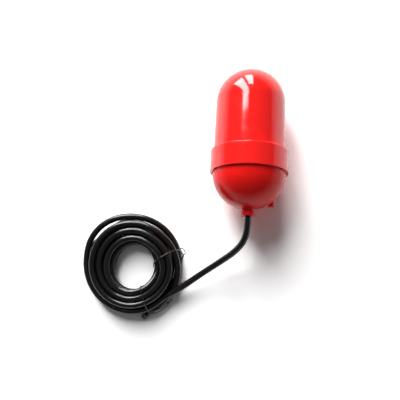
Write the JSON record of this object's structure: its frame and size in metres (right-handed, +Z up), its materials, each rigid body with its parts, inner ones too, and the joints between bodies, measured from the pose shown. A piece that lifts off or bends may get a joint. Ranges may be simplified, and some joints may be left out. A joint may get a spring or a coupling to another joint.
{
  "type": "float level switch",
  "caption": "Capsule-shaped moulded float with an inner ball switch, a collared joint, a cable gland, and its cable gathered in a tied coil.",
  "frame": {"origin": "middle of the float's bounding box, on the surface it lies on; the cable is not counted", "axes": "+Z up, +Y from the cable gland towards the dome along the float as it lies, +X to the float's right seen from above with the dome away from the viewer"},
  "size_m": [0.2338, 0.2841, 0.087],
  "materials": {
    "red_shell": "moulded gloss",
    "black_rubber": "matt",
    "brass": "stamped",
    "cable_jacket": "satin",
    "resin": "poured",
    "core_black": "satin",
    "core_brown": "satin",
    "core_blue": "satin",
    "natural_plastic": "moulded",
    "switch_plastic": "moulded",
    "bright_steel": "polished",
    "plunger_plastic": "moulded",
    "tie_coating": "coated wire"
  },
  "bodies": {
    "root": {"upper_shell": "red_shell", "lower_cup": "red_shell", "gland_nut": "red_shell", "joint_seal": "black_rubber", "cable_grommet": "black_rubber", "thrust_washer": "brass", "jacket_ferrule": "brass", "cable_entry": "cable_jacket", "potting_resin": "resin", "core_black": "core_black", "core_brown": "core_brown", "core_blue": "core_blue", "switch_carrier": "natural_plastic", "cage_cap": "natural_plastic", "switch_case": "switch_plastic", "switch_cover": "switch_plastic", "lever_pin": "bright_steel", "terminal_common": "brass", "terminal_open": "brass", "terminal_closed": "brass", "crimp_sleeves": "brass", "carrier_screws": "bright_steel", "case_screws": "bright_steel", "cable_lead": "cable_jacket", "cable_coil": "cable_jacket", "cable_tail": "cable_jacket", "tail_cores": "core_brown", "tie_wire_upper": "tie_coating", "tie_wire_lower": "tie_coating"},
    "ball": {"steel_ball": "bright_steel"},
    "lever": {"trip_lever": "bright_steel"},
    "plunger_body": {"plunger": "plunger_plastic"},
    "contact": {"contact_arm": "brass"}
  },
  "joints": [
    {"name": "ball_roll", "type": "slide", "parent": "root", "child": "ball", "axis": [0, -0.9975, 0.0703], "range_m": [0, 0.016]},
    {"name": "lever_tilt", "type": "hinge", "parent": "root", "child": "lever", "pos_m": [-0.0115, -0.02125, 0.0433], "axis": [0, -0.0703, -0.9975], "range_deg": [0, 8.51]},
    {"name": "plunger_press", "type": "slide", "parent": "root", "child": "plunger_body", "axis": [0, -0.9975, 0.0703], "range_m": [0, 0.00105]},
    {"name": "contact_tilt", "type": "hinge", "parent": "root", "child": "contact", "pos_m": [0.0065, -0.02727, 0.04372], "axis": [0, 0.0703, 0.9975], "range_deg": [0, 5.44]}
  ],
  "couplings": [
    {"joint": "lever_tilt", "follows": "ball_roll", "rad_per_m": 9.2721},
    {"joint": "plunger_press", "follows": "ball_roll", "ratio": 0.065385},
    {"joint": "contact_tilt", "follows": "ball_roll", "rad_per_m": 5.9262}
  ]
}
